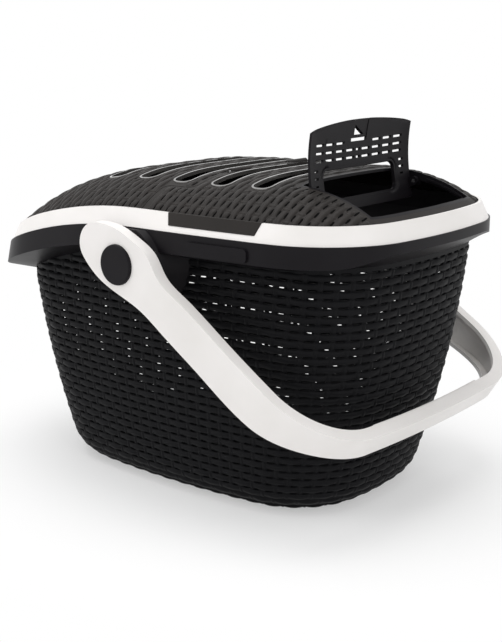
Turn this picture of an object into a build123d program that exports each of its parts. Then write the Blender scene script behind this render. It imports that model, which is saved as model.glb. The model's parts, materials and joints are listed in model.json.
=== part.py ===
from build123d import *
import math
import os

# Pet carrier, millimetres. X runs along its length with the hatch at +X and the door at -X,
# Y runs across it, Z is up, and the origin lies under the middle of the base.

# Rim line, seen from above: two long side arcs, two end arcs and four corner arcs
rim_half_length = 255.0
rim_half_width = 168.5
rim_side_radius = 1660.0
rim_end_radius = 560.0
rim_corner_radius = 100.0
rim_height = 284.5
droop_radius = 560.0
droop_start = 0.0

# Woven tub
base_half_length = 187.5
base_half_width = 122.0
base_side_radius = 890.0
base_end_radius = 255.0
base_corner_radius = 88.0
mouth_half_length = 236.0
mouth_half_width = 142.0
mouth_side_radius = 1400.0
mouth_end_radius = 450.0
mouth_corner_radius = 68.0
mouth_height = 250.0
wall_bulge = 7.5
tub_wall = 3.5
tub_seat_gap = 0.3
base_edge_radius = 30.0

# Collar round the mouth of the tub
lip_height = 10.0
lip_reach = 1.5
side_lip_height = 21.0
front_lip_height = 22.0
front_lip_reach = 6.0
rear_foot_drop = 23.0
side_foot_drop = 29.0
front_foot_drop = 36.0
collar_wall = 5.0
foot_overhang = 0.8
upstand_height = 15.0
ledge_width = 7.0

# White trim band
trim_height = 17.0
trim_lean = 8.0
trim_wall = 3.0
trim_fit_gap = 0.15

# Lid dome
lid_inset = 11.6
lid_wall = 3.0
lid_seat_gap = 0.3
dome_height = 32.4
dome_front_rise = 8.2
dome_rear_rise = 18.9
dome_power = 3.9
dome_foot = 14.5
dome_tail = 1.02
dome_spread = 0.08

# Seam between the door and the rear lid
seam_x = 38.0
seam_side_x = 1.0
seam_half_width = 119.0
seam_corner_radius = 9.0
seam_gap = 0.8

# Slots across the lid
slot_pitch = 49.8
front_slot_x = -88.0
slot_width = 21.0
slot_half_lengths = (101.0, 107.0, 110.0, 110.0, 109.0)
slot_corner_radius = 8.0
door_slot_count = 3
bezel_width = 2.0
bezel_rise = 0.9
bezel_gap = 0.1

# Hatch at the rear of the lid
hatch_front_x = 146.6
hatch_half_width = 87.5
hatch_rear_margin = 10.0
hatch_corner_radius = 3.0
frame_wall = 2.5
frame_drop = 8.0
frame_gap = 0.1
ledge_reach = 4.0
ledge_thickness = 2.0
ledge_gap = 0.4
ledge_start = 14.0
flap_gap = 1.4
flap_front_gap = 2.6
flap_wall = 3.0
window_front_margin = 12.0
window_length = 28.0
window_half_width = 62.0
window_corner_radius = 7.0
hatch_axis_x = 164.0
hatch_axis_z = 318.0
hatch_open_angle = 110.0
ear_thickness = 4.0
ear_radius = 4.5
hatch_pin_radius = 2.0
hatch_pin_clearance = 0.08
bracket_radius = 5.5
vent_length = 5.0
vent_height = 1.8
vent_pitch = 9.0
vent_row_pitch = 7.0
vent_rows = 3
vent_first_row = 9.0
vent_side_margin = 9.0

# Finger catch on the flap
catch_width = 26.0
catch_length = 16.0
catch_wall = 2.4
catch_gap = 0.4
catch_travel = 3.0
catch_rise = 0.6

# Door hinge
knuckle_radius = 3.2
door_pin_radius = 1.5
door_pin_clearance = 0.05
knuckle_length = 16.0
knuckle_gap = 0.4
knuckle_offset = 48.0

# Clips
clip_start_x = 42.0
clip_end_x = 150.0
clip_foot = 5.9
clip_slant = 4.0
clip_rise = 0.8
clip_gap = 0.4
front_latch_half_width = 30.0

# Belt plates under the clips
plate_start_x = 72.0
plate_end_x = 142.0
plate_height = 13.0
plate_thickness = 2.6
plate_top_drop = 6.5
plate_corner_radius = 4.0

# Handle
pivot_height = 250.0
handle_angle = -32.0
handle_half_width = 190.0
handle_wall = 13.0
handle_reach = 293.0
grip_bow = 8.0
handle_bend_radius = 82.0
arm_top = 20.3
arm_bottom = 20.2
arm_end_top = 15.5
arm_end_bottom = 24.2
grip_top = 14.5
grip_bottom = 9.5
arm_straight = 200.0
hub_top = 33.0
hub_bottom = 27.4
lobe_reach = 55.0
lobe_half_width = 24.5
grip_half_length = 96.0
cap_radius = 20.0
cap_rise = 3.0
cap_recess = 5.0
cap_gap = 0.3
pivot_radius = 12.0
pivot_clearance = 0.08
pivot_seat = 9.0
channel_depth = 8.0
channel_flange = 4.0
channel_start = 62.0
insert_rise = 3.0
insert_gap = 0.2
boss_gap = 1.0
boss_face_radius = 36.0
boss_root_radius = 66.0

deep = 400.0


def grown(plan, offset):
    return tuple(value + offset for value in plan)


rim_plan = (rim_half_length, rim_half_width, rim_side_radius, rim_end_radius, rim_corner_radius)
base_plan = (base_half_length, base_half_width, base_side_radius, base_end_radius,
             base_corner_radius)
mouth_plan = (mouth_half_length, mouth_half_width, mouth_side_radius, mouth_end_radius,
              mouth_corner_radius)
lid_plan = grown(rim_plan, -lid_inset)


def corner_arcs(plan):
    half_length, half_width, side_radius, end_radius, corner_radius = plan
    side_y = half_width - side_radius
    end_x = half_length - end_radius
    distance = math.hypot(end_x, side_y)
    side_reach = side_radius - corner_radius
    end_reach = end_radius - corner_radius
    along = (side_reach ** 2 - end_reach ** 2 + distance ** 2) / (2 * distance)
    across = math.sqrt(side_reach ** 2 - along ** 2)
    ux = end_x / distance
    uy = -side_y / distance
    best = None
    for sign in (1, -1):
        x = ux * along - uy * across * sign
        y = side_y + uy * along + ux * across * sign
        if best is None or x + y > best[0] + best[1]:
            best = (x, y)
    corner_x, corner_y = best
    end_angle = math.degrees(math.atan2(corner_y, corner_x - end_x))
    side_angle = math.degrees(math.atan2(corner_y - side_y, corner_x))
    return end_x, side_y, corner_x, corner_y, end_angle, side_angle


def plan_wire(plan, z=0.0):
    end_x, side_y, cx, cy, end_angle, side_angle = corner_arcs(plan)
    side_radius, end_radius, corner_radius = plan[2:]
    pieces = [
        (end_x, 0, end_radius, -end_angle, end_angle),
        (cx, cy, corner_radius, end_angle, side_angle),
        (0, side_y, side_radius, side_angle, 180 - side_angle),
        (-cx, cy, corner_radius, 180 - side_angle, 180 - end_angle),
        (-end_x, 0, end_radius, 180 - end_angle, 180 + end_angle),
        (-cx, -cy, corner_radius, 180 + end_angle, 180 + side_angle),
        (0, -side_y, side_radius, 180 + side_angle, 360 - side_angle),
        (cx, -cy, corner_radius, 360 - side_angle, 360 - end_angle),
    ]
    edges = []
    for x, y, radius, start, end in pieces:
        edges.append(Edge.make_circle(radius, Plane(origin=(x, y, z)), start, end))
    return Wire(edges)


def plan_prism(plan, low, high):
    return extrude(Face(plan_wire(plan, low)), amount=high - low, dir=(0, 0, 1))


def half_points(plan):
    end_x, side_y, cx, cy, end_angle, side_angle = corner_arcs(plan)
    side_radius, end_radius, corner_radius = plan[2:]
    pieces = [
        (end_x, 0, end_radius, 0, end_angle, 5),
        (cx, cy, corner_radius, end_angle, side_angle, 8),
        (0, side_y, side_radius, side_angle, 180 - side_angle, 10),
        (-cx, cy, corner_radius, 180 - side_angle, 180 - end_angle, 8),
        (-end_x, 0, end_radius, 180 - end_angle, 180, 5),
    ]
    points = []
    for x, y, radius, start, end, steps in pieces:
        for step in range(steps):
            angle = math.radians(start + (end - start) * step / steps)
            points.append((x + radius * math.cos(angle), y + radius * math.sin(angle)))
    points.append((-plan[0], 0.0))
    points[0] = (plan[0], 0.0)
    return points


def rim_z(x):
    back = max(0.0, droop_start - x)
    return rim_height - droop_radius + math.sqrt(droop_radius ** 2 - back ** 2)


def front_share(x):
    share = min(1.0, max(0.0, (droop_start - x) / rim_half_length))
    return share * share * (3 - 2 * share)


def tub_plan(z):
    share = z / mouth_height
    swell = wall_bulge * 4 * share * (1 - share) if share < 1 else 0.0
    blended = [low + (high - low) * share for low, high in zip(base_plan, mouth_plan)]
    return grown(blended, swell)


tub_heights = [mouth_height * share for share in (0, 0.25, 0.5, 0.75, 1.0, 1.2)]


def tub_solid(offset):
    return loft([Face(plan_wire(grown(tub_plan(z), offset), z)) for z in tub_heights])


def rim_loop(offset, height):
    points = []
    for (x0, y0), (x, y) in zip(half_points(rim_plan), half_points(grown(rim_plan, offset))):
        points.append((x, y, rim_z(x0) + height))
    return points


def shaped_rim_loop(shape):
    base = half_points(rim_plan)
    inner = half_points(grown(rim_plan, -1.0))
    points = []
    for (x0, y0), (x1, y1) in zip(base, inner):
        offset, height = shape(x0)
        points.append((x0 + (x0 - x1) * offset, y0 + (y0 - y1) * offset, rim_z(x0) + height))
    return points


def foot_z(x):
    share = min(1.0, max(0.0, (mouth_half_length - x) / (mouth_half_length - plate_end_x)))
    share = share * share * (3 - 2 * share)
    drop = rear_foot_drop + (side_foot_drop - rear_foot_drop) * share
    drop += (front_foot_drop - side_foot_drop) * front_share(x)
    return rim_z(x) - drop


def foot_loop(offset):
    points = []
    for index, (x, y) in enumerate(half_points(rim_plan)):
        for step in range(6):
            z = foot_z(x)
            x, y = half_points(grown(tub_plan(z), offset))[index]
        points.append((x, y, foot_z(x)))
    return points


def ring(loops):
    ends = [Vector(0, 1, 0), Vector(0, -1, 0)]
    edges = [Edge.make_spline([Vector(*point) for point in loop], tangents=ends)
             for loop in loops]
    faces = []
    for index, edge in enumerate(edges):
        faces.append(Face.make_surface_from_curves(edge, edges[(index + 1) % len(edges)]))
    for end in (0, -1):
        faces.append(Face(Wire.make_polygon([Vector(*loop[end]) for loop in loops], close=True)))
    half = Solid(Shell(faces))
    if half.volume < 0:
        half = Solid(Shell([-face for face in faces]))
    return half.fuse(mirror(half, about=Plane.XZ))


def side_region(height_at, far):
    left = -rim_half_length - 45
    right = rim_half_length + 45
    steps = 16
    points = []
    for step in range(steps + 1):
        x = left + (right - left) * step / steps
        points.append(Vector(x, 0, height_at(x)))
    line = Wire.make_polygon([points[-1], Vector(right, 0, far), Vector(left, 0, far),
                              points[0]], close=False)
    face = Face(Wire([Edge.make_spline(points)] + line.edges()))
    return extrude(face, amount=rim_half_width + 60, dir=(0, 1, 0), both=True)


def under_rim(height):
    return side_region(lambda x: rim_z(x) + height, -deep)


def over_rim(height):
    return side_region(lambda x: rim_z(x) + height, 2 * deep)


def plan_gauge(plan, x, y):
    low = 0.0
    high = 3.0
    end_x, side_y, cx, cy, end_angle, side_angle = corner_arcs(plan)
    side_radius, end_radius, corner_radius = plan[2:]
    x = abs(x)
    y = abs(y)
    for step in range(40):
        scale = (low + high) / 2
        if scale < 1e-6:
            break
        px = x / scale
        py = y / scale
        inside = False
        angle_end = math.degrees(math.atan2(py, px - end_x))
        angle_side = math.degrees(math.atan2(py - side_y, px))
        if angle_end <= end_angle:
            inside = math.hypot(px - end_x, py) <= end_radius
        elif angle_side >= side_angle:
            inside = math.hypot(px, py - side_y) <= side_radius
        else:
            inside = math.hypot(px - cx, py - cy) <= corner_radius
        if inside:
            high = scale
        else:
            low = scale
    return (low + high) / 2


def dome_z(x, y):
    front = max(0.0, -x / lid_plan[0])
    rear = max(0.0, x / lid_plan[0])
    height = dome_height + dome_front_rise * front ** 1.5 + dome_rear_rise * rear ** 2
    gauge = plan_gauge(lid_plan, x, y)
    if gauge > dome_tail:
        gauge = dome_tail + dome_spread * math.tanh((gauge - dome_tail) / dome_spread)
    return rim_z(x) + dome_foot + height * (1 - gauge ** dome_power)


dome_stations = 12
dome_steps = 16
dome_half_x = lid_plan[0] + 10
dome_half_y = lid_plan[1] + 10


made_domes = {}


def under_dome(shift):
    if shift in made_domes:
        return made_domes[shift]
    sections = []
    for station in range(dome_stations + 1):
        x = -dome_half_x + 2 * dome_half_x * station / dome_stations
        points = []
        for step in range(dome_steps + 1):
            y = -dome_half_y + 2 * dome_half_y * step / dome_steps
            points.append(Vector(x, y, dome_z(x, y) + shift))
        rest = Wire.make_polygon([points[-1], Vector(x, dome_half_y, 0),
                                  Vector(x, -dome_half_y, 0), points[0]], close=False)
        sections.append(Face(Wire([Edge.make_spline(points)] + rest.edges())))
    made_domes[shift] = loft(sections)
    return made_domes[shift]


def block(x0, x1, y0, y1, z0, z1):
    return Pos((x0 + x1) / 2, (y0 + y1) / 2, (z0 + z1) / 2) * Box(
        abs(x1 - x0), abs(y1 - y0), abs(z1 - z0))


def rounded_block(x0, x1, half_width, radius, z0, z1):
    shape = block(x0, x1, -half_width, half_width, z0, z1)
    return fillet(shape.edges().filter_by(Axis.Z), radius)


def lying_rod(x, z, y0, y1, radius):
    middle = (y0 + y1) / 2
    return Pos(x, middle, z) * Rot(90, 0, 0) * Cylinder(radius, abs(y1 - y0))


def save(shape, name):
    export_step(shape, "parts/" + name + ".step")


os.makedirs("parts", exist_ok=True)

# Tub
tub_outer = fillet(tub_solid(0).edges().group_by(Axis.Z)[0], base_edge_radius)
tub_inner = fillet(tub_solid(-tub_wall).edges().group_by(Axis.Z)[0], base_edge_radius - tub_wall)
tub_inner = Pos(0, 0, tub_wall) * tub_inner
tub = (tub_outer - tub_inner) & side_region(lambda x: foot_z(x) - tub_seat_gap, -deep)
save(tub, "tub")

# Collar with the two handle bosses
def lip_shape(x0, y0):
    share = min(1.0, max(0.0, (abs(y0) - 0.45 * rim_half_width) / (0.4 * rim_half_width)))
    share = share * share * (3 - 2 * share)
    height = lip_height + (side_lip_height - lip_height) * share
    front = front_share(x0)
    height += (front_lip_height - height) * front
    reach = lip_reach + (front_lip_reach - lip_reach) * front
    return reach, height


lip_low = []
lip_high = []
for (x0, y0), (x1, y1) in zip(half_points(rim_plan), half_points(grown(rim_plan, -1.0))):
    reach, height = lip_shape(x0, y0)
    x = x0 + (x0 - x1) * reach
    y = y0 + (y0 - y1) * reach
    lip_low.append((x, y, rim_z(x0) - height))
    lip_high.append((x0 + (x0 - x1) * lip_reach, y0 + (y0 - y1) * lip_reach, rim_z(x0)))


def band_face(height):
    return -trim_lean * height / trim_height


trim_back = -trim_wall - trim_fit_gap
ledge_back = trim_back + band_face(upstand_height) - ledge_width
collar = ring([
    lip_high,
    lip_low,
    foot_loop(foot_overhang),
    foot_loop(foot_overhang - collar_wall),
    rim_loop(ledge_back + 1.0, -lip_height / 2),
    rim_loop(ledge_back, upstand_height - collar_wall),
    rim_loop(ledge_back, upstand_height),
    rim_loop(trim_back + band_face(upstand_height), upstand_height),
    rim_loop(trim_back, 0),
])
boss_face_y = handle_half_width - handle_wall - boss_gap
boss_depth = boss_face_y - mouth_half_width + 30
boss = Pos(0, boss_face_y - boss_depth / 2, pivot_height) * Rot(-90, 0, 0) * Cone(
    boss_root_radius, boss_face_radius, boss_depth)
boss = boss & under_rim(-1.0)
boss = boss + mirror(boss, about=Plane.XZ)
pivot_low = boss_face_y - pivot_seat
pivot_hole = lying_rod(0, pivot_height, pivot_low, boss_face_y + 1, pivot_radius)
collar = collar + (boss - tub_outer)
collar = collar - pivot_hole - mirror(pivot_hole, about=Plane.XZ)
save(collar, "rim_collar")
print("tub", tub.volume, tub.is_valid, len(tub.solids()))
print("collar", collar.volume, collar.is_valid, len(collar.solids()))


# Notches for the clips: two on the sides and one at the front
def side_notch(gap):
    low = rim_height + clip_foot - gap
    high = rim_height + 2 * trim_height
    outline = Wire.make_polygon([
        Vector(clip_start_x + clip_slant - gap, 0, low),
        Vector(clip_end_x - clip_slant + gap, 0, low),
        Vector(clip_end_x + gap, 0, rim_height + trim_height),
        Vector(clip_end_x + gap, 0, high),
        Vector(clip_start_x - gap, 0, high),
        Vector(clip_start_x - gap, 0, rim_height + trim_height),
    ], close=True)
    return extrude(Face(outline), amount=rim_half_width + 20, dir=(0, -1, 0))


def front_notch(gap):
    front_z = rim_z(-rim_half_length)
    width = front_latch_half_width
    outline = Wire.make_polygon([
        Vector(0, -width + clip_slant - gap, front_z + clip_foot - gap),
        Vector(0, width - clip_slant + gap, front_z + clip_foot - gap),
        Vector(0, width + gap, front_z + trim_height),
        Vector(0, width + gap, front_z + 2 * trim_height),
        Vector(0, -width - gap, front_z + 2 * trim_height),
        Vector(0, -width - gap, front_z + trim_height),
    ], close=True)
    return extrude(Face(outline), amount=rim_half_length + 20, dir=(-1, 0, 0))


trim = ring([
    rim_loop(0, 0),
    rim_loop(-trim_lean, trim_height),
    rim_loop(-trim_lean - trim_wall, trim_height),
    rim_loop(-trim_wall, 0),
])
right_notch = side_notch(clip_gap)
trim = trim - right_notch - mirror(right_notch, about=Plane.XZ) - front_notch(clip_gap)
save(trim, "rim_trim")

clip_inner = lid_inset - 0.5
clip_top = trim_height + 0.3
clip_shelf = upstand_height + 0.5
clip_ring = ring([
    rim_loop(clip_rise + band_face(clip_foot), clip_foot - clip_gap),
    rim_loop(clip_rise - trim_lean, clip_top),
    rim_loop(-clip_inner, clip_top),
    rim_loop(-clip_inner, clip_shelf),
    rim_loop(trim_back + 0.45 + band_face(clip_shelf), clip_shelf),
    rim_loop(trim_back + 0.45 + band_face(clip_foot), clip_foot - clip_gap),
])
side_clip = clip_ring & side_notch(0)
save(side_clip, "side_clip_right")
save(mirror(side_clip, about=Plane.XZ), "side_clip_left")
front_latch = clip_ring & front_notch(0)
save(front_latch, "front_latch")

# Belt plates on the lip below the side clips
plate_ring = ring([
    rim_loop(lip_reach + 0.05, -plate_top_drop),
    rim_loop(lip_reach + 0.05, -plate_top_drop - plate_height),
    rim_loop(lip_reach + plate_thickness, -plate_top_drop - plate_height),
    rim_loop(lip_reach + plate_thickness, -plate_top_drop),
])
plate_middle_z = rim_height - plate_top_drop - plate_height / 2
plate_cut = Pos((plate_start_x + plate_end_x) / 2, -rim_half_width, plate_middle_z) * Box(
    plate_end_x - plate_start_x, 60, plate_height)
plate_cut = fillet(plate_cut.edges().filter_by(Axis.Y), plate_corner_radius)
plate = plate_ring & plate_cut
save(plate, "belt_plate_right")
save(mirror(plate, about=Plane.XZ), "belt_plate_left")

# Lid shell, split into the door and the rear lid
dome_outer = under_dome(0)
dome_inner = under_dome(-lid_wall)
shell = dome_outer & plan_prism(lid_plan, 100, deep)
shell = shell - (dome_inner & plan_prism(grown(lid_plan, -lid_wall), 90, deep))
shell = shell & over_rim(upstand_height + lid_seat_gap)


def seam_prism(shift):
    tongue = seam_half_width + shift
    side = rim_half_width + 20
    outline = Wire.make_polygon([
        Vector(-rim_half_length - 50, -side, 90), Vector(seam_side_x + shift, -side, 90),
        Vector(seam_side_x + shift, -tongue, 90), Vector(seam_x + shift, -tongue, 90),
        Vector(seam_x + shift, tongue, 90), Vector(seam_side_x + shift, tongue, 90),
        Vector(seam_side_x + shift, side, 90), Vector(-rim_half_length - 50, side, 90),
    ], close=True)
    prism = extrude(Face(outline), amount=deep, dir=(0, 0, 1))
    corners = [edge for edge in prism.edges().filter_by(Axis.Z)
               if edge.center().X > seam_side_x - 5 and abs(edge.center().Y) < side - 5]
    return fillet(corners, seam_corner_radius)


door = shell & seam_prism(-seam_gap / 2)
rear_lid = shell - seam_prism(seam_gap / 2)

# Slots and their bezels
slots = []
for number, half_length in enumerate(slot_half_lengths):
    slots.append((front_slot_x + slot_pitch * number, half_length))


def slot_block(slot, grow):
    x, half_length = slot
    return rounded_block(x - slot_width / 2 - grow, x + slot_width / 2 + grow,
                         half_length + grow, slot_corner_radius + grow, 90, deep)


dome_bezel = under_dome(bezel_rise)
bezels = []
for slot in slots:
    bezel = dome_bezel & (slot_block(slot, bezel_width) - slot_block(slot, 0))
    bezels.append(bezel - dome_inner)
for slot in slots[:door_slot_count]:
    door = door - slot_block(slot, bezel_width + bezel_gap)
for slot in slots[door_slot_count:]:
    rear_lid = rear_lid - slot_block(slot, bezel_width + bezel_gap)
save(Compound(bezels[:door_slot_count]), "door_slot_bezels")
save(Compound(bezels[door_slot_count:]), "lid_slot_bezels")

# Door hinge: two pairs of knuckles on the seam
hinge_z = dome_z(seam_x, knuckle_offset)
for side in (1, -1):
    middle = side * knuckle_offset
    door_knuckle = lying_rod(seam_x, hinge_z, middle - knuckle_length,
                             middle - knuckle_gap / 2, knuckle_radius)
    door_root = block(seam_x - 2.5 * knuckle_radius, seam_x, middle - knuckle_length,
                      middle - knuckle_gap / 2, hinge_z - knuckle_radius, hinge_z - 0.2)
    lid_knuckle = lying_rod(seam_x, hinge_z, middle + knuckle_gap / 2,
                            middle + knuckle_length, knuckle_radius)
    lid_root = block(seam_x, seam_x + 2.5 * knuckle_radius, middle + knuckle_gap / 2,
                     middle + knuckle_length, hinge_z - knuckle_radius, hinge_z - 0.2)
    low = middle - knuckle_length - knuckle_gap
    high = middle + knuckle_length + knuckle_gap
    relief = lying_rod(seam_x, hinge_z, low, high, knuckle_radius + knuckle_gap)
    bore = lying_rod(seam_x, hinge_z, low, high, door_pin_radius + door_pin_clearance)
    door = door - relief + door_knuckle + door_root
    rear_lid = rear_lid - relief + lid_knuckle + lid_root
    door = door - bore - (relief & block(seam_x - 10, seam_x + 10, middle - knuckle_gap / 2,
                                         high, hinge_z - 10, hinge_z + 10))
    rear_lid = rear_lid - bore - (relief & block(seam_x - 10, seam_x + 10, low,
                                                 middle + knuckle_gap / 2,
                                                 hinge_z - 10, hinge_z + 10))
door_pins = []
for side in (1, -1):
    middle = side * knuckle_offset
    door_pins.append(lying_rod(seam_x, hinge_z, middle - knuckle_length,
                               middle + knuckle_length, door_pin_radius))
save(Compound(door_pins), "door_hinge_pins")
save(door, "front_door")
print("door", door.volume, door.is_valid, len(door.solids()))


# Hatch opening, its frame and the flap
def hatch_prism(grow, start_grow):
    shape = rounded_block(hatch_front_x - start_grow, rim_half_length + 20,
                          hatch_half_width + grow,
                          max(1.0, hatch_corner_radius + grow), 95, deep)
    return shape & plan_prism(grown(lid_plan, grow - hatch_rear_margin), 90, deep)


rear_lid = rear_lid - hatch_prism(frame_wall + frame_gap, frame_wall + frame_gap)
save(rear_lid, "rear_lid")
print("rear lid", rear_lid.volume, rear_lid.is_valid, len(rear_lid.solids()))

flap_front = hatch_front_x + flap_front_gap
frame_outer = hatch_prism(frame_wall, frame_wall)
frame = (frame_outer - hatch_prism(0, 0)) & dome_outer
bracket_y = hatch_half_width + frame_wall
bracket = lying_rod(hatch_axis_x, hatch_axis_z, hatch_half_width, bracket_y, bracket_radius)
bracket = bracket + block(hatch_axis_x - bracket_radius, hatch_axis_x + bracket_radius,
                          hatch_half_width, bracket_y, hatch_axis_z,
                          hatch_axis_z + frame_drop)
frame = frame - under_dome(-frame_drop)
frame = frame - (dome_inner & block(0, flap_front, -hatch_half_width, hatch_half_width, 90, deep))
frame = frame + bracket + mirror(bracket, about=Plane.XZ)
ledge = hatch_prism(0.5, 0) - hatch_prism(-ledge_reach, deep)
ledge = ledge & under_dome(-flap_wall - ledge_gap)
ledge = ledge - under_dome(-flap_wall - ledge_gap - ledge_thickness)
ledge = ledge & block(hatch_axis_x + ledge_start, rim_half_length, -rim_half_width,
                      rim_half_width, 0, deep)
frame = frame + ledge
pin_hole = lying_rod(hatch_axis_x, hatch_axis_z, -bracket_y - 1, bracket_y + 1,
                     hatch_pin_radius + hatch_pin_clearance / 2)
frame = frame - pin_hole
save(frame, "hatch_frame")
print("frame", frame.volume, frame.is_valid, len(frame.solids()))

flap_plan = hatch_prism(-flap_gap, -flap_front_gap)
flap_edge = hatch_half_width - flap_gap
flap_rear = lid_plan[0] - hatch_rear_margin - flap_gap
window_start = flap_front + window_front_margin
window_end = window_start + window_length
flap = (flap_plan & dome_outer) - under_dome(-flap_wall)


def window_block(grow):
    return rounded_block(window_start - grow, window_end + grow, window_half_width + grow,
                         window_corner_radius + grow, 95, deep)


flap = flap - window_block(bezel_width + bezel_gap)
window_bezel = (dome_bezel & (window_block(bezel_width) - window_block(0)))
window_bezel = window_bezel - under_dome(-flap_wall)
for side in (1, -1):
    outer_y = side * flap_edge
    inner_y = side * (flap_edge - ear_thickness)
    ear = block(hatch_axis_x - ear_radius, hatch_axis_x + ear_radius, outer_y, inner_y,
                hatch_axis_z, hatch_axis_z + 30) & under_dome(-flap_wall / 2)
    ear = ear + lying_rod(hatch_axis_x, hatch_axis_z, min(outer_y, inner_y),
                          max(outer_y, inner_y), ear_radius)
    flap = flap + ear
flap = flap - lying_rod(hatch_axis_x, hatch_axis_z, -flap_edge - 1, flap_edge + 1,
                        hatch_pin_radius + hatch_pin_clearance)

# Vent dashes and the finger catch in the flap's free edge
catch_start = flap_rear - catch_length
catch_notch = block(catch_start - catch_travel - catch_gap, flap_rear + 20,
                    -catch_width / 2 - catch_gap, catch_width / 2 + catch_gap, 95, deep)
flap = flap - catch_notch
vents = []
vent_count = int((flap_edge - vent_side_margin) / vent_pitch)
for row in range(vent_rows):
    x = window_end + vent_first_row + vent_row_pitch * row
    for place in range(-vent_count, vent_count + 1):
        y = place * vent_pitch
        near_catch = abs(y) < catch_width / 2 + vent_pitch
        if near_catch and x > catch_start - catch_travel - vent_row_pitch:
            continue
        vents.append(block(x - vent_height / 2, x + vent_height / 2, y - vent_length / 2,
                           y + vent_length / 2, 95, deep))
for side in (1, -1):
    for row in (-1, 0, 1, 2):
        x = window_start + window_length / 2 + vent_row_pitch * row
        y = side * (window_half_width + (flap_edge - window_half_width) / 2)
        if abs(x - hatch_axis_x) > ear_radius + vent_height or row > 0:
            vents.append(block(x - vent_height / 2, x + vent_height / 2, y - vent_length / 2,
                               y + vent_length / 2, 95, deep))
flap = flap - vents
catch = dome_bezel & block(catch_start, flap_rear + 1, -catch_width / 2, catch_width / 2,
                           95, deep) & plan_prism(grown(lid_plan, -hatch_rear_margin - flap_gap),
                                                  90, deep)
catch = catch - under_dome(-catch_wall)
finger_hole = Wire.make_polygon([
    Vector(catch_start + catch_wall, -catch_width / 2 + 2 * catch_wall, 95),
    Vector(catch_start + catch_wall, catch_width / 2 - 2 * catch_wall, 95),
    Vector(flap_rear - 2 * catch_wall, -catch_width / 2 + 2 * catch_wall, 95),
], close=True)
catch = catch - extrude(Face(finger_hole), amount=deep, dir=(0, 0, 1))


def opened(shape):
    hinge = Location((hatch_axis_x, 0, hatch_axis_z))
    turn = Location((0, 0, 0), (0, -hatch_open_angle, 0))
    return shape.moved(hinge * turn * hinge.inverse())


save(opened(flap), "hatch_flap")
save(opened(window_bezel), "flap_window_bezel")
save(opened(catch), "flap_catch")
hatch_pins = []
for side in (1, -1):
    inner = side * (flap_edge - ear_thickness)
    outer = side * bracket_y
    hatch_pins.append(lying_rod(hatch_axis_x, hatch_axis_z, min(inner, outer),
                                max(inner, outer), hatch_pin_radius))
save(Compound(hatch_pins), "flap_hinge_pins")
print("flap", flap.volume, flap.is_valid, len(flap.solids()), catch.volume, catch.is_valid)
print("bezels", [round(item.volume) for item in bezels], window_bezel.volume)


# Handle: a U bent from a flat strap, drawn along its own arm and then turned to its angle
def handle_u(inset, start):
    width = handle_half_width - inset
    corner = handle_reach - grip_bow - inset
    bow = Edge.make_three_point_arc(Vector(corner, width, 0), Vector(handle_reach - inset, 0, 0),
                                    Vector(corner, -width, 0))
    sides = Wire.make_polygon([Vector(corner, -width, 0), Vector(start, -width, 0),
                               Vector(start, width, 0), Vector(corner, width, 0)], close=False)
    face = Face(Wire([bow] + sides.edges()))
    bends = [vertex for vertex in face.vertices() if vertex.X > start + 1]
    face = fillet(bends, handle_bend_radius - inset)
    return extrude(face, amount=3 * hub_top, dir=(0, 0, 1), both=True)


def handle_side(shrink):
    lobe_top = lobe_half_width
    top = [
        (handle_reach + 30, grip_top),
        (handle_reach - 20, grip_top),
        (handle_reach - 58, (grip_top + arm_end_top) / 2),
        (arm_straight, arm_end_top),
        ((arm_straight + 2 * hub_top) / 2, (arm_top + arm_end_top) / 2),
        (2.4 * hub_top, arm_top),
        (1.45 * hub_top, arm_top + 2.5),
        (0.85 * hub_top, hub_top - 1),
        (0.15 * hub_top, hub_top),
        (-0.4 * lobe_reach, (hub_top + lobe_top) / 2),
        (-0.7 * lobe_reach, 0.88 * lobe_top),
        (-0.92 * lobe_reach, 0.5 * lobe_top),
        (-lobe_reach, 0),
    ]
    bottom = [
        (-0.9 * lobe_reach, -0.66 * lobe_half_width),
        (-0.6 * lobe_reach, -lobe_half_width),
        (-0.22 * lobe_reach, -hub_bottom),
        (0.5 * hub_top, -0.88 * hub_bottom),
        (1.45 * hub_top, -arm_bottom + 1),
        (2.4 * hub_top, -arm_bottom),
        ((arm_straight + 2 * hub_top) / 2, -(arm_bottom + arm_end_bottom) / 2),
        (arm_straight, -arm_end_bottom),
        (handle_reach - 58, -(grip_bottom + 2 * arm_end_bottom) / 3),
        (handle_reach - 20, -grip_bottom - 2),
        (handle_reach + 30, -grip_bottom),
    ]
    if shrink:
        top = [(u, w - shrink) for u, w in top if u > channel_start]
        bottom = [(u, w + shrink) for u, w in bottom if u > channel_start]
        upper = Edge.make_spline([Vector(u, 0, w) for u, w in top])
        lower = Edge.make_spline([Vector(u, 0, w) for u, w in bottom])
        ends = [Edge.make_line(upper @ 1, lower @ 0), Edge.make_line(lower @ 1, upper @ 0)]
        face = Face(Wire([upper, ends[0], lower, ends[1]]))
    else:
        edge = Edge.make_spline([Vector(u, 0, w) for u, w in top + bottom])
        face = Face(Wire([edge, Edge.make_line(edge @ 1, edge @ 0)]))
    return extrude(face, amount=handle_half_width + 20, dir=(0, 1, 0), both=True)


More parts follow.
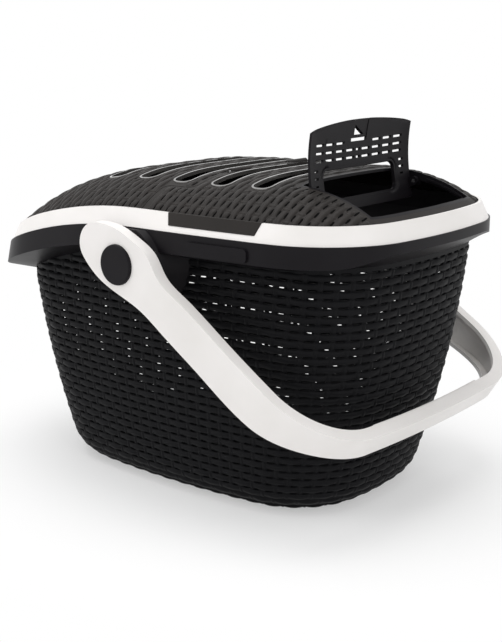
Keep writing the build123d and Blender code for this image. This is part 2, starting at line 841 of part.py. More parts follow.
side_body = handle_side(0)
channel_body = handle_side(channel_flange)
strap = (handle_u(0, -lobe_reach - 20) - handle_u(handle_wall, -lobe_reach - 30)) & side_body
skin = handle_wall - channel_depth
channel = handle_u(skin, channel_start) - handle_u(handle_wall + 1, channel_start - 10)
channel = channel & channel_body & block(channel_start, handle_reach, -handle_half_width,
                                         handle_half_width, -deep, deep)
handle = strap - channel
grip_zone = block(0, handle_reach + 20, -grip_half_length, grip_half_length, -deep, deep)
cover = handle_u(skin + insert_gap, 0) - handle_u(handle_wall + insert_rise, -10)
cover = cover & handle_side(channel_flange + insert_gap) & grip_zone
cap_face = handle_half_width - cap_recess
for side in (1, -1):
    low = min(side * cap_face, side * (handle_half_width + 5))
    high = max(side * cap_face, side * (handle_half_width + 5))
    handle = handle - lying_rod(0, 0, low, high, cap_radius + cap_gap)
handle = handle - lying_rod(0, 0, -handle_half_width, handle_half_width,
                            pivot_radius + pivot_clearance / 2)


def turned(shape):
    return shape.moved(Location((0, 0, pivot_height)) * Location((0, 0, 0),
                                                                 (0, -handle_angle, 0)))


save(turned(handle), "handle")
save(turned(cover), "grip_cover")
for side, word in ((-1, "right"), (1, "left")):
    low = min(side * pivot_low, side * cap_face)
    high = max(side * pivot_low, side * cap_face)
    save(lying_rod(0, pivot_height, low, high, pivot_radius - pivot_clearance / 2),
         "handle_pivot_" + word)
    low = min(side * cap_face, side * (handle_half_width + cap_rise))
    high = max(side * cap_face, side * (handle_half_width + cap_rise))
    cap = lying_rod(0, pivot_height, low, high, cap_radius)
    rim = cap.edges().filter_by(GeomType.CIRCLE).sort_by(lambda edge: side * edge.center().Y)[-1]
    save(fillet(rim, cap_rise / 2), "handle_cap_" + word)
print("handle", handle.volume, handle.is_valid, len(handle.solids()))
print("cover", cover.volume, cover.is_valid, len(cover.solids()))
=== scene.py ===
import bpy
import json
import math
import numpy as np
from mathutils import Matrix, Vector
from mathutils.bvhtree import BVHTree


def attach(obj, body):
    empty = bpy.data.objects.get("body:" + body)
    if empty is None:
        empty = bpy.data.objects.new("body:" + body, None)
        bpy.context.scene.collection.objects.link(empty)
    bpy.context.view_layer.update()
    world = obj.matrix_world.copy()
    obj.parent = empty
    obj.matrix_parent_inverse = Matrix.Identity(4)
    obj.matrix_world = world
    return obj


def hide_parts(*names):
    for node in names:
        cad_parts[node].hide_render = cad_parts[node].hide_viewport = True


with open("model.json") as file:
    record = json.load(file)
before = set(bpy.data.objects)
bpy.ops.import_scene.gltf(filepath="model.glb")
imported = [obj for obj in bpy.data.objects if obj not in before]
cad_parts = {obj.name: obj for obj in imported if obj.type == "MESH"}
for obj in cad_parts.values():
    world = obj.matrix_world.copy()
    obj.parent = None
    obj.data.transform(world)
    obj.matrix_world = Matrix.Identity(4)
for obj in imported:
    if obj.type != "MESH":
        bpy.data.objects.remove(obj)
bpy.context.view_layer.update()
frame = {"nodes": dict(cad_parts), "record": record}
nodes = frame["nodes"]
mm = 0.001
print("frame loaded", len(nodes), "nodes")


# colours and material nodes

def srgb(code):
    values = [int(code[i:i + 2], 16) / 255 for i in (1, 3, 5)]
    return [v / 12.92 if v <= 0.04045 else ((v + 0.055) / 1.055) ** 2.4 for v in values] + [1.0]


def addNode(tree, kind, settings=None, inputs=None, links=None):
    node = tree.nodes.new(kind)
    for key, value in (settings or {}).items():
        setattr(node, key, value)
    for key, value in (inputs or {}).items():
        node.inputs[key].default_value = value
    for key, socket in (links or {}).items():
        tree.links.new(socket, node.inputs[key])
    return node


skin = {
    "cloudDetail": 3.0,
    "grainDetail": 2.0,
    "tintStops": (0.3, 0.7),  # noise values that give all shade and all colour
    "bumpDepth": 0.3,  # share of the grain's size
}


def newMaterial(name, look):
    material = bpy.data.materials.new(name)
    material.use_nodes = True
    tree = material.node_tree
    tree.nodes.clear()
    place = addNode(tree, "ShaderNodeTexCoord")
    cloud = addNode(tree, "ShaderNodeTexNoise",
                    inputs={"Scale": 1 / (look["cloudSize"] * mm), "Detail": skin["cloudDetail"]},
                    links={"Vector": place.outputs["Object"]})
    grain = addNode(tree, "ShaderNodeTexNoise",
                    inputs={"Scale": 1 / (look["grainSize"] * mm), "Detail": skin["grainDetail"]},
                    links={"Vector": place.outputs["Object"]})
    tint = addNode(tree, "ShaderNodeValToRGB", links={"Fac": cloud.outputs["Fac"]})
    for stop, position, word in zip(tint.color_ramp.elements, skin["tintStops"], ("shade", "colour")):
        stop.position = position
        stop.color = srgb(look[word])
    roughness, spread = look["roughness"], look["spread"]
    polish = addNode(tree, "ShaderNodeMapRange",
                     inputs={"To Min": roughness - spread, "To Max": roughness + spread},
                     links={"Value": cloud.outputs["Fac"]})
    bump = addNode(tree, "ShaderNodeBump",
                   inputs={"Strength": look["bump"], "Distance": look["grainSize"] * mm * skin["bumpDepth"]},
                   links={"Height": grain.outputs["Fac"]})
    body = addNode(tree, "ShaderNodeBsdfPrincipled",
                   inputs={"IOR": look["ior"], "Specular IOR Level": look.get("specular", 0.5),
                           "Metallic": look.get("metal", 0.0), "Coat Weight": look.get("coat", 0.0),
                           "Coat Roughness": look.get("coatRoughness", 0.1)},
                   links={"Base Color": tint.outputs["Color"], "Roughness": polish.outputs["Result"],
                          "Normal": bump.outputs["Normal"]})
    addNode(tree, "ShaderNodeOutputMaterial", links={"Surface": body.outputs["BSDF"]})
    return material


# sizes in mm; the grain is drawn coarser than a real mould's, so that it shows
finishes = {
    # basket, moulded in a grained mould: a dull black that only gleams faintly along the strands
    "wovenBlackPolypropylene": {
        "colour": "#131315", "shade": "#0e0e10", "roughness": 0.5, "spread": 0.06,
        "ior": 1.49, "specular": 0.08, "cloudSize": 60, "grainSize": 0.9, "bump": 0.25},
    # collar, caps, hatch frame, catch, flap and latch, moulded in a smoother mould: a little glossier
    "smoothBlackPolypropylene": {
        "colour": "#171518", "shade": "#121013", "roughness": 0.4, "spread": 0.05,
        "ior": 1.49, "specular": 0.12, "cloudSize": 45, "grainSize": 0.7, "bump": 0.1},
    # lid, door and side clips, grained like the basket: a warmer black that shows its strands better
    "wovenBrownBlackPolypropylene": {
        "colour": "#25211f", "shade": "#1d1a18", "roughness": 0.52, "spread": 0.06,
        "ior": 1.49, "specular": 0.18, "cloudSize": 55, "grainSize": 0.9, "bump": 0.25},
    # the gaps between strands on the lid: painted shade, a near-black sheet laid over each gap where no light
    # reaches
    "deepShadowSlit": {
        "colour": "#050505", "shade": "#030303", "roughness": 0.8, "spread": 0.05,
        "ior": 1.49, "specular": 0.05, "cloudSize": 55, "grainSize": 0.9, "bump": 0.0},
    # slot edges, black plastic moulded against polished steel: a thin bright line, partly the real gloss and
    # coat, partly a painted highlight in the grey base colour and the touch of metal
    "slotLipWithPaintedHighlight": {
        "colour": "#6a6866", "shade": "#565452", "roughness": 0.1, "spread": 0.03, "ior": 1.5, "metal": 0.35,
        "cloudSize": 30, "grainSize": 1.5, "bump": 0.03, "coat": 1.0, "coatRoughness": 0.05},
    # trim band, handle and grip, satin moulded: an even warm white with soft highlights
    "satinWhitePolypropylene": {
        "colour": "#e6e3e1", "shade": "#dedbd8", "roughness": 0.36, "spread": 0.04,
        "ior": 1.49, "cloudSize": 70, "grainSize": 0.8, "bump": 0.06},
    # hinge pins, drawn steel wire: small grey glints, and Blender's own IOR, as a metal's does nothing
    "drawnSteelPin": {
        "colour": "#c8c8c8", "shade": "#a8a8a8", "roughness": 0.25, "spread": 0.05,
        "ior": 1.5, "metal": 1.0, "cloudSize": 8, "grainSize": 0.6, "bump": 0.05},
}
materials = {name: newMaterial(name, look) for name, look in finishes.items()}
wovenBlack = materials["wovenBlackPolypropylene"]
smoothBlack = materials["smoothBlackPolypropylene"]
wovenBrown = materials["wovenBrownBlackPolypropylene"]
# painted highlight: the slot edges' grey colour and metal stand for glints on black plastic
highlightPaintedEdge = materials["slotLipWithPaintedHighlight"]
satinWhite = materials["satinWhitePolypropylene"]
steelPin = materials["drawnSteelPin"]
slotFinish = {"basket_plastic": wovenBlack, "collar_plastic": smoothBlack, "lid_plastic": wovenBrown,
              "bezel_plastic": highlightPaintedEdge, "white_plastic": satinWhite, "pin_steel": steelPin}
smoothNodes = ("hatch_flap", "front_latch", "flap_window_bezel")  # smooth pieces that have no weave
for part in frame["record"]["subparts"]:
    mesh = nodes[part["node"]].data
    mesh.materials.clear()
    mesh.materials.append(smoothBlack if part["node"] in smoothNodes else slotFinish[part["material_slot"]])
print("materials made")


# the tub's outline, as the arcs that bound it

tubShape = {
    "base": (187.5, 122.0, 890.0, 255.0, 88.0),  # half length, half width, side, end and corner radius
    "mouth": (236.0, 142.0, 1400.0, 450.0, 68.0),
    "mouthHeight": 250.0,
    "bulge": 7.5,
    "edgeRadius": 30.0,
    "wall": 3.0,
    "rimHeight": 284.5,
    "droopRadius": 560.0,
    "footDrops": (23.0, 29.0, 36.0),  # at the rear, the sides and the front
    "rearEase": (236, 86),  # where the rear's drop starts to change to the sides', and over what length
    "frontEase": 255,  # length over which the sides' drop changes to the front's
}


def smooth(share):
    share = min(1.0, max(0.0, share))
    return share * share * (3 - 2 * share)


def footZ(x):
    rear, side, front = tubShape["footDrops"]
    droop = tubShape["droopRadius"]
    rim = tubShape["rimHeight"] - droop + math.sqrt(droop ** 2 - max(0.0, -x) ** 2)
    rearStart, rearLength = tubShape["rearEase"]
    toSide, toFront = smooth((rearStart - x) / rearLength), smooth(-x / tubShape["frontEase"])
    return rim - (rear + (side - rear) * toSide + (front - side) * toFront)


def outlineAt(plan, shares):
    halfLength, halfWidth, sideRadius, endRadius, cornerRadius = plan
    sideY, endX = halfWidth - sideRadius, halfLength - endRadius
    distance = math.hypot(endX, sideY)
    sideReach, endReach = sideRadius - cornerRadius, endRadius - cornerRadius
    along = (sideReach ** 2 - endReach ** 2 + distance ** 2) / (2 * distance)
    across = math.sqrt(sideReach ** 2 - along ** 2)
    ux, uy = endX / distance, -sideY / distance
    cx, cy = max([(ux * along - uy * across * side, sideY + uy * along + ux * across * side)
                  for side in (1, -1)], key=sum)
    endAngle = math.atan2(cy, cx - endX)
    sideAngle = math.atan2(cy - sideY, cx)
    turn = math.pi
    arcs = [(endX, 0, endRadius, 0, endAngle), (cx, cy, cornerRadius, endAngle, sideAngle),
            (0, sideY, sideRadius, sideAngle, turn - sideAngle),
            (-cx, cy, cornerRadius, turn - sideAngle, turn - endAngle),
            (-endX, 0, endRadius, turn - endAngle, turn + endAngle),
            (-cx, -cy, cornerRadius, turn + endAngle, turn + sideAngle),
            (0, -sideY, sideRadius, turn + sideAngle, 2 * turn - sideAngle),
            (cx, -cy, cornerRadius, 2 * turn - sideAngle, 2 * turn - endAngle),
            (endX, 0, endRadius, 2 * turn - endAngle, 2 * turn)]
    lengths = [radius * (end - start) for x, y, radius, start, end in arcs]
    total = sum(lengths)
    slack = 1e-6  # for rounding at the end of an arc
    points = []
    for share in shares:
        reach = total * share
        for (x, y, radius, start, end), length in zip(arcs, lengths):
            if reach <= length + slack:
                angle = start + reach / radius
                points.append((x + radius * math.cos(angle), y + radius * math.sin(angle)))
                break
            reach -= length
    return points


def tubOutline(z, shares):
    share = z / tubShape["mouthHeight"]
    swell = tubShape["bulge"] * 4 * share * (1 - share) if share < 1 else 0.0
    radius = tubShape["edgeRadius"]
    inset = radius - math.sqrt(radius ** 2 - (radius - z) ** 2) if z < radius else 0.0
    return outlineAt([a + (b - a) * share + swell - inset
                      for a, b in zip(tubShape["base"], tubShape["mouth"])], shares)


def makeObject(name, vertices, faces, material):
    mesh = bpy.data.meshes.new(name)
    mesh.from_pydata([tuple(v) for v in vertices], [], faces)
    mesh.materials.append(material)
    mesh.update()
    piece = bpy.data.objects.new(name, mesh)
    bpy.context.scene.collection.objects.link(piece)
    return piece


# one strand of the moulded weave: full height over its stake, pinched between two stakes

strand = {
    "along": (-1.0, -0.86, -0.62, -0.32, 0.0, 0.32, 0.62, 0.86, 1.0),
    "across": (-1.0, -0.7, 0.0, 0.7, 1.0),
    "profile": (-0.4, 0.82, 1.0, 0.82, -0.4),  # rise across the strand, below 0 under the wall
    "pinch": 0.26,  # share of the row left open between two strands
    "drop": 0.95,  # share of the rise that is gone at the ends
    "dropPower": 2.4,
    "widthScale": 1.0,
    "riseScale": 1.0,
}


def strandMesh(name, material):
    vertices, reach = [], []
    for u in strand["along"]:
        width = 1 - strand["pinch"] * math.sin(math.pi * u) ** 2
        height = 1 - strand["drop"] * abs(u) ** strand["dropPower"]
        for v, rise in zip(strand["across"], strand["profile"]):
            vertices.append((0.5 * u, 0.5 * v * width, rise * height if rise > 0 else rise))
            reach.append(u)
    count = len(strand["across"])
    faces = [(i * count + j, (i + 1) * count + j, (i + 1) * count + j + 1, i * count + j + 1)
             for i in range(len(strand["along"]) - 1) for j in range(count - 1)]
    piece = makeObject(name, vertices, faces, material)
    piece.data.attributes.new("reach", "FLOAT", "POINT").data.foreach_set("value", reach)
    return piece


# painted shade: a flat near-black patch with pointed ends, laid in the gaps between the lid's strands
def slitMesh(name, material):  # a flat patch with pointed ends, one unit long and wide
    corners = [(-0.5, 0, 1), (-0.3, -0.5, 1), (0.3, -0.5, 1), (0.5, 0, 1), (0.3, 0.5, 1), (-0.3, 0.5, 1)]
    piece = makeObject(name, corners, [tuple(range(len(corners)))], material)
    piece.data.attributes.new("reach", "FLOAT", "POINT").data.foreach_set("value", [0.0] * len(corners))
    return piece


def weaveTree(name, pillow, material):
    tree = bpy.data.node_groups.new(name, "GeometryNodeTree")
    for word, way, kind in (("Geometry", "INPUT", "Geometry"), ("Strand Width", "INPUT", "Float"),
                            ("Strand Rise", "INPUT", "Float"), ("Geometry", "OUTPUT", "Geometry")):
        tree.interface.new_socket(word, in_out=way, socket_type="NodeSocket" + kind)
    start = addNode(tree, "NodeGroupInput")
    source = addNode(tree, "GeometryNodeObjectInfo", {"transform_space": "ORIGINAL"}, {"Object": pillow})

    def stored(word, kind="FLOAT_VECTOR"):
        node = addNode(tree, "GeometryNodeInputNamedAttribute", {"data_type": kind}, {"Name": word})
        return node.outputs["Attribute"]

    scale = addNode(tree, "ShaderNodeCombineXYZ", inputs={"X": 1.0},
                    links={"Y": start.outputs["Strand Width"], "Z": start.outputs["Strand Rise"]})
    size = addNode(tree, "ShaderNodeVectorMath", {"operation": "MULTIPLY"},
                   links={0: stored("cell"), 1: scale.outputs["Vector"]})
    place = addNode(tree, "GeometryNodeInstanceOnPoints",
                    links={"Points": start.outputs["Geometry"], "Instance": source.outputs["Geometry"],
                           "Rotation": stored("turn"), "Scale": size.outputs["Vector"]})
    whole = addNode(tree, "GeometryNodeRealizeInstances", links={"Geometry": place.outputs["Instances"]})
    reach = stored("reach", "FLOAT")
    square = addNode(tree, "ShaderNodeMath", {"operation": "MULTIPLY"}, links={0: reach, 1: reach})
    bend = addNode(tree, "ShaderNodeVectorMath", {"operation": "SCALE"},
                   links={0: stored("bow"), "Scale": square.outputs[0]})
    bent = addNode(tree, "GeometryNodeSetPosition",
                   links={"Geometry": whole.outputs["Geometry"], "Offset": bend.outputs["Vector"]})
    finish = addNode(tree, "GeometryNodeSetMaterial", inputs={"Material": material},
                     links={"Geometry": bent.outputs["Geometry"]})
    addNode(tree, "NodeGroupOutput", links={"Geometry": finish.outputs["Geometry"]})
    return tree


def weaveOn(name, cells, pillow, material, body):
    # a cell is its centre, its along and outward directions, its size in mm, and how far its ends bend inward
    cloud = bpy.data.meshes.new(name + "Points")
    cloud.from_pydata([tuple(cell[0] * mm) for cell in cells], [], [])
    turns, sizes, bows = [], [], []
    for centre, along, out, dims, bow in cells:
        turns += list(Matrix((along, out.cross(along), out)).transposed().to_euler())
        sizes += [value * mm for value in dims]
        bows += [value * -bow * mm for value in out]
    for word, values in (("turn", turns), ("cell", sizes), ("bow", bows)):
        cloud.attributes.new(word, "FLOAT_VECTOR", "POINT").data.foreach_set("vector", values)
    holder = bpy.data.objects.new(name + "Points", cloud)
    bpy.context.scene.collection.objects.link(holder)
    modifier = holder.modifiers.new("Weave", "NODES")
    tree = weaveTree(name + "Tree", pillow, material)
    modifier.node_group = tree
    for socket, value in (("Strand Width", strand["widthScale"]), ("Strand Rise", strand["riseScale"])):
        modifier[tree.interface.items_tree[socket].identifier] = value
    graph = bpy.context.evaluated_depsgraph_get()
    mesh = bpy.data.meshes.new_from_object(holder.evaluated_get(graph), depsgraph=graph)
    for word in [layer.name for layer in mesh.attributes if layer.name in ("turn", "cell", "bow", "reach")]:
        mesh.attributes.remove(mesh.attributes[word])
    mesh.name = name
    mesh.shade_smooth()
    piece = bpy.data.objects.new(name, mesh)
    bpy.context.scene.collection.objects.link(piece)
    bpy.data.objects.remove(holder)
    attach(piece, body)
    print(name, len(cells), "cells", len(mesh.polygons), "faces")


# tub wall: pierced by one slit between each two stakes and rows, open to the inside

tubWeave = {
    "stakes": 88,
    "rowPitch": 8.2,
    "edgeLevels": [0.0, 1.2, 3.5, 6.5],  # heights that round the floor's edge, under the slits
    "firstSlit": 9.6,  # height of the lowest slit line
    "lastSlit": 266,
    "openFrom": 22.0,  # lower slits are closed by the floor's edge
    "slitHeight": 2.1,
    "slitShare": (0.0, 0.17, 0.5, 0.83),  # cuts in a stake's pitch, with the slit from the second to the last
    "slitClear": 2.5,  # wall left between a slit and the collar
    "wallTuck": 1.0,  # the wall ends this far up inside the collar
    "rowTuck": 1.5,  # and the strands this far
    "lowestRow": 5,
    "strandLength": 0.99,  # share of two stakes' distance
    "stakeWidth": 4.8,
    "stakeLength": 1.25,  # share of a row
    "rise": 2.0,
    "stakeRise": 1.3,
    "leastStep": 0.01,  # a face flatter than this, squeezed under the collar, is left out
    "sharpAngle": 45,
}
stakes, rowPitch, firstSlit = tubWeave["stakes"], tubWeave["rowPitch"], tubWeave["firstSlit"]
shares = [(stake + part) / stakes for stake in range(stakes) for part in tubWeave["slitShare"]]
fine, cuts = len(shares), len(tubWeave["slitShare"])
levels = list(tubWeave["edgeLevels"])
half = tubWeave["slitHeight"] / 2
rows = int((tubWeave["lastSlit"] - firstSlit) / rowPitch) + 1
for row in range(rows):
    levels += [firstSlit + rowPitch * row - half, firstSlit + rowPitch * row + half]
vertices = [Vector((x, y, min(z, footZ(x) + tubWeave["wallTuck"])))
            for z in levels for x, y in tubOutline(z, shares)]
faces = [tuple(reversed(range(fine)))]  # the floor
for level in range(len(levels) - 1):
    slitLevel = level >= len(tubWeave["edgeLevels"]) and level % 2 == 0
    pierced = slitLevel and levels[level] > tubWeave["openFrom"]
    for step in range(fine):
        a, b = level * fine + step, level * fine + (step + 1) % fine
        free = levels[level + 1] < footZ(vertices[a].x) - tubWeave["slitClear"]
        if pierced and free and step % cuts in (1, 2):
            continue
        if vertices[a + fine].z > vertices[a].z + tubWeave["leastStep"]:
            faces.append((a, b, b + fine, a + fine))
tubWall = makeObject("tubWall", [vertex * mm for vertex in vertices], faces, wovenBlack)
thickness = tubWall.modifiers.new("Wall", "SOLIDIFY")
thickness.thickness = tubShape["wall"] * mm
thickness.offset = -1
graph = bpy.context.evaluated_depsgraph_get()
wallMesh = bpy.data.meshes.new_from_object(tubWall.evaluated_get(graph), depsgraph=graph)
tubWall.modifiers.clear()
tubWall.data = wallMesh
wallMesh.shade_smooth()
wallMesh.set_sharp_from_angle(angle=math.radians(tubWeave["sharpAngle"]))
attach(tubWall, "carrier")
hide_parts("tub")
print("tub wall", len(wallMesh.polygons), "faces")


def tubCells():
    strands, bars = [], []
    for row in range(-1, rows):
        z = firstSlit + rowPitch * (row + 0.5)
        if z < tubWeave["lowestRow"]:
            continue
        low, middle, high = (tubOutline(level, shares) for level in (z - 1, z, z + 1))
        for stake in range(stakes):
            k = stake * cuts
            x, y = middle[k]
            if z + rowPitch * 0.5 > footZ(x) + tubWeave["rowTuck"]:
                continue
            centre = Vector((x, y, z))
            before, after = Vector((*middle[(k - cuts) % fine], z)), Vector((*middle[(k + cuts) % fine], z))
            up = Vector((*high[k], z + 1)) - Vector((*low[k], z - 1))
            along = (after - before).normalized()
            out = along.cross(up).normalized()
            if (stake + row) % 2:
                size = (tubWeave["stakeWidth"], rowPitch * tubWeave["stakeLength"], tubWeave["stakeRise"])
                bars.append((centre, along, out, size, 0.0))
            else:
                size = ((after - before).length * tubWeave["strandLength"], rowPitch, tubWeave["rise"])
                bow = (centre - (before + after) / 2).dot(out)
                strands.append((centre, along, out, size, bow))
    return strands, bars


strandBlack = strandMesh("strandBlack", wovenBlack)
strandBrown = strandMesh("strandBrown", wovenBrown)
slitDark = slitMesh("slitDark", materials["deepShadowSlit"])
strands, bars = tubCells()
weaveOn("tubStrands", strands, strandBlack, wovenBlack, "carrier")
weaveOn("tubStakes", bars, strandBlack, wovenBlack, "carrier")


# lid and door weave: strands across the width, seated on the CAD dome

lidWeave = {
    "rowPitch": 8.3,  # six rows to a slot spacing
    "stakePitch": 14.8,
    "stakeWidth": 4.4,
    "rise": 1.5,
    "stakeRise": 0.9,
    "stakeLength": 1.1,  # share of a row
    "slit": (9.6, 2.0, 0.15),
    "slitHalfWidth": 1.5,
    "strandHalfWidth": 3.75,
    "lift": 0.02,
    "rows": (-19, 41),
    "stakes": (-13, 14),
    "halfPath": (158, 0.5),  # how far out from the middle a row is traced, and the step
    "stations": 17,  # places tried along a strand, which is two stakes' pitch long
    "fewestStations": 3,  # a strand that has no more room than this is left out
    "widest": 1.3,  # share of a row that a strand may be where the lid falls away steeply
    "steepest": 0.2,
    "leastSlope": 0.1,  # a dome steeper than this takes no strands
    "rayFrom": 400,
}
slots = {
    "first": -88.0,
    "pitch": 49.8,
    "halfLengths": (101, 107, 110, 110, 109),
    "halfWidth": 10.5,
    "bezel": 2.0,
    "clearAlong": 0.3,
    "clearAcross": 0.8,
}
lidPlan = {  # what else the weave stays clear of
    "hatchFrom": 141,
    "hatchHalfWidth": 93,
    "seam": 38,  # between door and lid, in the middle
    "sideSeam": 1,  # and at the sides
    "seamStepY": 121,
    "seamClear": 1.4,
    "stepPlace": (-1, 40),
    "stepBand": (116, 122),
    "knuckleReach": 6,
    "knuckleBand": (36, 60),
}
domeTrees = []
for node in ("front_door", "rear_lid"):
    mesh = nodes[node].data
    mesh.calc_loop_triangles()
    domeTrees.append(BVHTree.FromPolygons([v.co.copy() for v in mesh.vertices],
                                          [tuple(t.vertices) for t in mesh.loop_triangles]))


def domeAt(tree, x, y):
    hit, normal = tree.ray_cast(Vector((x, y, lidWeave["rayFrom"])) * mm, Vector((0, 0, -1)))[:2]
    if hit is None or normal.z < lidWeave["leastSlope"]:
        return None
    return hit / mm, normal


def clearAt(x, y, halfWidth):
    y = abs(y)
    slotReach = slots["halfWidth"] + slots["bezel"] + slots["clearAlong"] + halfWidth
    for number, reach in enumerate(slots["halfLengths"]):
        beside = abs(x - slots["first"] - slots["pitch"] * number) < slotReach
        if beside and y < reach + slots["bezel"] + slots["clearAcross"]:
            return False
    if x > lidPlan["hatchFrom"] - halfWidth and y < lidPlan["hatchHalfWidth"]:  # the hatch and its frame
        return False
    seam = lidPlan["seam"] if y < lidPlan["seamStepY"] else lidPlan["sideSeam"]
    (stepFrom, stepTo), (inner, outer) = lidPlan["stepPlace"], lidPlan["stepBand"]
    if abs(x - seam) < lidPlan["seamClear"] + halfWidth or (stepFrom < x < stepTo and inner < y < outer):
        return False
    inner, outer = lidPlan["knuckleBand"]  # the door's hinge knuckles
    return not (abs(x - lidPlan["seam"]) < lidPlan["knuckleReach"] + halfWidth and inner < y < outer)


def lidCells(tree):
    strands, bars, slitShades = [], [], []
    rowPitch, stakePitch = lidWeave["rowPitch"], lidWeave["stakePitch"]
    farthest, step = lidWeave["halfPath"]
    parts = np.linspace(-1, 1, lidWeave["stations"])
    mid = len(parts) // 2
    betweenStakes = mid + mid // 2
    for row in range(*lidWeave["rows"]):
        x = slots["first"] + rowPitch * row
        path, length, last = [], 0.0, None
        for y in np.arange(0, farthest, step):
            found = domeAt(tree, x, y)
            length += 0.0 if y == 0 else (found[0] - last[0]).length if found and last else step
            last = found
            path.append((length, found))
        lengths = np.array([entry[0] for entry in path])

        def stationAt(reach):  # the surface point that lies this far along the row from the middle
            index = int(np.searchsorted(lengths, abs(reach)))
            if index >= len(path) or path[index][1] is None:
                return None
            point, normal = path[index][1]
            side = 1 if reach >= 0 else -1
            return Vector((point.x, point.y * side, point.z)), Vector((normal.x, normal.y * side, normal.z))

        for stake in range(*lidWeave["stakes"]):
            found = [stationAt(stakePitch * (stake + part)) for part in parts]
            good = [f is not None and clearAt(f[0].x, f[0].y, lidWeave["strandHalfWidth"]) for f in found]
            best, start = (0, 0), None
            for index, ok in enumerate(good + [False]):
                if ok and start is None:
                    start = index
                if not ok and start is not None:
                    best, start = max(best, (index - start, start)), None
            middle = found[mid]
            if (stake + row) % 2 == 0 and best[0] > lidWeave["fewestStations"]:
                first, final = best[1], best[1] + best[0] - 1
                a, b = found[first][0], found[final][0]
                c, normal = found[(first + final) // 2]
                along = (b - a).normalized()
                out = (normal - along * normal.dot(along)).normalized()
                up = out.cross(along)
                width = min(rowPitch * lidWeave["widest"], rowPitch / max(lidWeave["steepest"], abs(up.x)))
                size, bow = ((b - a).length, width, lidWeave["rise"]), (c - (a + b) / 2).dot(out)
                strands.append((c + out * lidWeave["lift"], along, out, size, bow))
            if (stake + row) % 2 and middle and all(good[mid - 1:mid + 2]):
                point, normal = middle
                along = (found[mid + 1][0] - found[mid - 1][0]).normalized()
                out = (normal - along * normal.dot(along)).normalized()
                size = (lidWeave["stakeWidth"], rowPitch * lidWeave["stakeLength"], lidWeave["stakeRise"])
                bars.append((point, along, out, size, 0.0))
            # a painted shade patch goes in the gap between two strands
            between = stationAt(stakePitch * (stake + 0.5))
            slitX = x + rowPitch / 2
            if between and good[betweenStakes] and clearAt(slitX, between[0].y, lidWeave["slitHalfWidth"]):
                spot = domeAt(tree, slitX, between[0].y)
                if spot:
                    point, normal = spot
                    along = Vector((0, normal.z, -normal.y)).normalized()
                    out = (normal - along * normal.dot(along)).normalized()
                    slitShades.append((point, along, out, lidWeave["slit"], 0.0))
    return strands, bars, slitShades


for tree, body in zip(domeTrees, ("door", "lid")):
    strands, bars, slitShades = lidCells(tree)
    weaveOn(body + "Strands", strands, strandBrown, wovenBrown, body)
    weaveOn(body + "Stakes", bars, strandBrown, wovenBrown, body)
    weaveOn(body + "Slits", slitShades, slitDark, materials["deepShadowSlit"], body)
for pattern in (strandBlack, strandBrown, slitDark):
    bpy.data.objects.remove(pattern)
print("weave done")


# hatch flap: the CAD flap with its vent dashes opened to the wider ones of the photo

flapVents = {
    "rows": (198.2, 205.2, 212.2),  # places in mm with the flap closed
    "pairs": (13.5, 31.5, 49.5, 67.5),  # each dash takes in two of the solid's
    "catchFrom": 206,  # from here on a row stops beside the finger catch
    "catchHalfWidth": 22.0,
    "punchHeights": (280, 360),
    "legRows": (182.2, 189.2),
    "legY": 74.0,
    "long": (2.3, 13.6),
    "short": (2.3, 7.0),
    "hinge": (164.0, 318.0),
    "openAngle": -110,
}
long, short, legY = flapVents["long"], flapVents["short"], flapVents["legY"]
places = [(x, side * y, long) for x in flapVents["rows"] for y in flapVents["pairs"] for side in (1, -1)
          if x < flapVents["catchFrom"] or y > flapVents["catchHalfWidth"]]
places += [(x, 0.0, short) for x in flapVents["rows"][:2]]
places += [(x, side * legY, short) for x in flapVents["legRows"] for side in (1, -1)]
hingeX, hingeZ = flapVents["hinge"]
hinge = Matrix.Translation(Vector((hingeX, 0, hingeZ)))
opening = hinge @ Matrix.Rotation(math.radians(flapVents["openAngle"]), 4, "Y") @ hinge.inverted()
vertices, faces = [], []
for x, y, (height, length) in places:
    start = len(vertices)
    dx, dy = height / 2, length / 2
    corners = [(x - dx, y - dy), (x + dx, y - dy), (x + dx, y + dy), (x - dx, y + dy)]
    vertices += [opening @ Vector((a, b, z)) * mm for z in flapVents["punchHeights"] for a, b in corners]
    faces += [tuple(start + i for i in face) for face in
              ((3, 2, 1, 0), (4, 5, 6, 7), (0, 1, 5, 4), (1, 2, 6, 5), (2, 3, 7, 6), (3, 0, 4, 7))]
punch = makeObject("ventPunch", vertices, faces, smoothBlack)
flapMesh = nodes["hatch_flap"].data.copy()
flapSkin = bpy.data.objects.new("hatchFlapSkin", flapMesh)
bpy.context.scene.collection.objects.link(flapSkin)
cut = flapSkin.modifiers.new("Vents", "BOOLEAN")
cut.operation, cut.solver, cut.object = "DIFFERENCE", "EXACT", punch
graph = bpy.context.evaluated_depsgraph_get()
cutMesh = bpy.data.meshes.new_from_object(flapSkin.evaluated_get(graph), depsgraph=graph)
flapSkin.modifiers.clear()
flapSkin.data = cutMesh
cutMesh.materials.clear()
cutMesh.materials.append(smoothBlack)
bpy.data.objects.remove(punch)
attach(flapSkin, "flap")
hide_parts("hatch_flap")
print("flap skin", len(cutMesh.polygons), "faces")


# floor, light and camera

studio = {
    "floor": "#f4f4f4",
    "glow": 0.4,  # share of plain white near the object, where the floor keeps its shadow
    "fadeFrom": 0.2,  # the floor turns to plain white between these distances, measured on an oval
    "fadeTo": 0.52,
    "oval": (1.0, 1.25, 1.0),
    "floorHalf": 40,
    "worldStrength": 0.78,
}


def seenPlainly(tree):  # 1 for the rays that are to see the white background
    path = addNode(tree, "ShaderNodeLightPath")
    pair = addNode(tree, "ShaderNodeMath", {"operation": "MAXIMUM"},
                   links={0: path.outputs["Is Camera Ray"], 1: path.outputs["Is Glossy Ray"]})
    return addNode(tree, "ShaderNodeMath", {"operation": "MAXIMUM"},
                   links={0: pair.outputs[0], 1: path.outputs["Is Transmission Ray"]}).outputs[0]


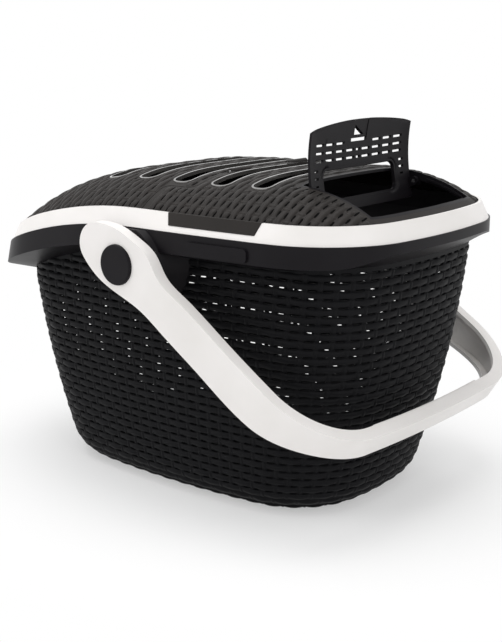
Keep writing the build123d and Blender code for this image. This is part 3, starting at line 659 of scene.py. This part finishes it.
far = studio["floorHalf"]
corners = [(-far, -far, 0), (far, -far, 0), (far, far, 0), (-far, far, 0)]
floor = makeObject("floor", corners, [(0, 1, 2, 3)], satinWhite)
floorLook = bpy.data.materials.new("paleFloor")
floorLook.use_nodes = True
tree = floorLook.node_tree
tree.nodes.clear()
place = addNode(tree, "ShaderNodeTexCoord")
oval = addNode(tree, "ShaderNodeVectorMath", {"operation": "MULTIPLY"}, {1: studio["oval"]},
               {0: place.outputs["Object"]})
distance = addNode(tree, "ShaderNodeVectorMath", {"operation": "LENGTH"}, links={0: oval.outputs["Vector"]})
fade = addNode(tree, "ShaderNodeMapRange", {"interpolation_type": "SMOOTHSTEP"},
               {"From Min": studio["fadeFrom"], "From Max": studio["fadeTo"],
                "To Min": studio["glow"], "To Max": 1.0}, {"Value": distance.outputs["Value"]})
share = addNode(tree, "ShaderNodeMath", {"operation": "MULTIPLY"},
                links={0: fade.outputs["Result"], 1: seenPlainly(tree)})
paint = addNode(tree, "ShaderNodeBsdfDiffuse", inputs={"Color": srgb(studio["floor"])})
glow = addNode(tree, "ShaderNodeEmission", inputs={"Color": (1, 1, 1, 1), "Strength": 1.0})
mixed = addNode(tree, "ShaderNodeMixShader",
                links={0: share.outputs[0], 1: paint.outputs["BSDF"], 2: glow.outputs["Emission"]})
addNode(tree, "ShaderNodeOutputMaterial", links={"Surface": mixed.outputs["Shader"]})
floor.data.materials[0] = floorLook

world = bpy.data.worlds.new("studioWorld")
bpy.context.scene.world = world
world.use_nodes = True
tree = world.node_tree
tree.nodes.clear()
soft, seen = [addNode(tree, "ShaderNodeBackground", inputs={"Color": (1, 1, 1, 1), "Strength": strength})
              for strength in (studio["worldStrength"], 1.0)]
mixed = addNode(tree, "ShaderNodeMixShader",
                links={0: seenPlainly(tree), 1: soft.outputs[0], 2: seen.outputs[0]})
addNode(tree, "ShaderNodeOutputWorld", links={"Surface": mixed.outputs["Shader"]})

lamps = {  # metres and watts
    "topSoftbox": {"place": (-0.2, -0.2, 2.2), "aim": (0, 0, 0.2), "size": 1.8, "power": 24},
    "leftSoftbox": {"place": (-1.6, -2.0, 1.1), "aim": (0, 0, 0.15), "size": 1.4, "power": 9},
    "rightSoftbox": {"place": (2.4, -1.0, 1.0), "aim": (0, 0, 0.15), "size": 1.2, "power": 7},
}
for name, lamp in lamps.items():
    data = bpy.data.lights.new(name, "AREA")
    data.size = lamp["size"]
    data.energy = lamp["power"]
    light = bpy.data.objects.new(name, data)
    bpy.context.scene.collection.objects.link(light)
    light.location = lamp["place"]
    light.rotation_euler = (Vector(lamp["aim"]) - Vector(lamp["place"])).to_track_quat("-Z", "Y").to_euler()

view = {"azimuth": 39.35, "elevation": 14.1, "distance": 1.36, "aim": (0, 0, 0.15),
        "focalPixels": 1232.0, "shiftPixels": (-10.0, 7.0), "imageWidth": 502, "sensorWidth": 36}
azimuth, elevation = math.radians(view["azimuth"]), math.radians(view["elevation"])
back = Vector((math.sin(azimuth) * math.cos(elevation), -math.cos(azimuth) * math.cos(elevation),
               math.sin(elevation)))
cameraData = bpy.data.cameras.new("photoCamera")
cameraData.sensor_fit = "HORIZONTAL"
cameraData.sensor_width = view["sensorWidth"]
cameraData.lens = view["focalPixels"] * view["sensorWidth"] / view["imageWidth"]
cameraData.shift_x = -view["shiftPixels"][0] / view["imageWidth"]
cameraData.shift_y = view["shiftPixels"][1] / view["imageWidth"]
camera = bpy.data.objects.new("photoCamera", cameraData)
bpy.context.scene.collection.objects.link(camera)
camera.location = Vector(view["aim"]) + back * view["distance"]
camera.rotation_euler = (-back).to_track_quat("-Z", "Y").to_euler()
bpy.context.scene.camera = camera
bpy.context.scene.view_settings.view_transform = "Standard"
print("studio set")
